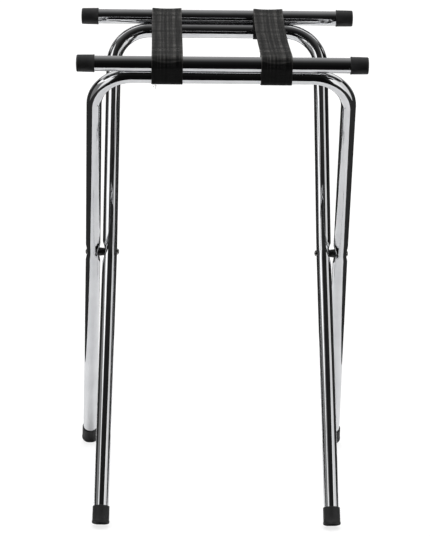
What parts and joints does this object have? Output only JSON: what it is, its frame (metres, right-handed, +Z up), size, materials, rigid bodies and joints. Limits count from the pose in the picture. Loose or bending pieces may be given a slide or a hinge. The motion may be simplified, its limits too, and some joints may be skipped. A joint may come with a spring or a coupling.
{
  "type": "folding luggage rack",
  "caption": "Folding luggage rack: two crossed bent-tube frames on rivet pivots, a straight tube bar on each, joined by webbing straps that stop the fold.",
  "frame": {"origin": "on the floor, midway between the four feet", "axes": "+Z up; +X along the top bars, to the right seen from the front; the front bar and the inner frame's feet are towards -Y"},
  "size_m": [0.474, 0.4954, 0.7974],
  "materials": {
    "chrome": "bright chrome plate on steel tube",
    "weld": "plated weld bead",
    "rivet_steel": "plated steel",
    "cap_plastic": "satin moulded vinyl",
    "foot_rubber": "matt moulded rubber",
    "spacer_plastic": "satin moulded nylon",
    "webbing": "ribbed black polypropylene webbing"
  },
  "bodies": {
    "outer_frame": {"outer_frame_tube": "chrome", "front_top_bar": "chrome", "front_bar_welds": "weld", "front_bar_cap_left": "cap_plastic", "front_bar_cap_right": "cap_plastic", "rear_foot_left": "foot_rubber", "rear_foot_right": "foot_rubber", "pivot_spacer_left": "spacer_plastic", "pivot_spacer_right": "spacer_plastic", "pivot_rivet_left": "rivet_steel", "pivot_rivet_right": "rivet_steel", "strap_left_front_loop": "webbing", "strap_right_front_loop": "webbing"},
    "inner_frame": {"inner_frame_tube": "chrome", "rear_top_bar": "chrome", "rear_bar_welds": "weld", "rear_bar_cap_left": "cap_plastic", "rear_bar_cap_right": "cap_plastic", "front_foot_left": "foot_rubber", "front_foot_right": "foot_rubber", "strap_left_rear_loop": "webbing", "strap_right_rear_loop": "webbing"},
    "front_strap_halves": {"strap_left_front_half": "webbing", "strap_right_front_half": "webbing"},
    "rear_strap_halves": {"strap_left_rear_half": "webbing", "strap_right_rear_half": "webbing"}
  },
  "joints": [
    {"name": "fold", "type": "hinge", "parent": "outer_frame", "child": "inner_frame", "pos_m": [0, 0, 0.41395], "axis": [1, 0, 0], "range_deg": [0, 55.16], "deforming": ["strap_left_front_half", "strap_right_front_half", "strap_left_rear_half", "strap_right_rear_half"]},
    {"name": "front_strap_drop", "type": "hinge", "parent": "outer_frame", "child": "front_strap_halves", "pos_m": [0, -0.2118, 0.78287], "axis": [-1, 0, 0], "range_deg": [0, 61.86]},
    {"name": "rear_strap_drop", "type": "hinge", "parent": "inner_frame", "child": "rear_strap_halves", "pos_m": [0, 0.2118, 0.78287], "axis": [1, 0, 0], "range_deg": [0, 61.86]}
  ],
  "couplings": [
    {"joint": "front_strap_drop", "follows": "fold", "ratio": 1.1206},
    {"joint": "rear_strap_drop", "follows": "fold", "ratio": 1.1206}
  ]
}
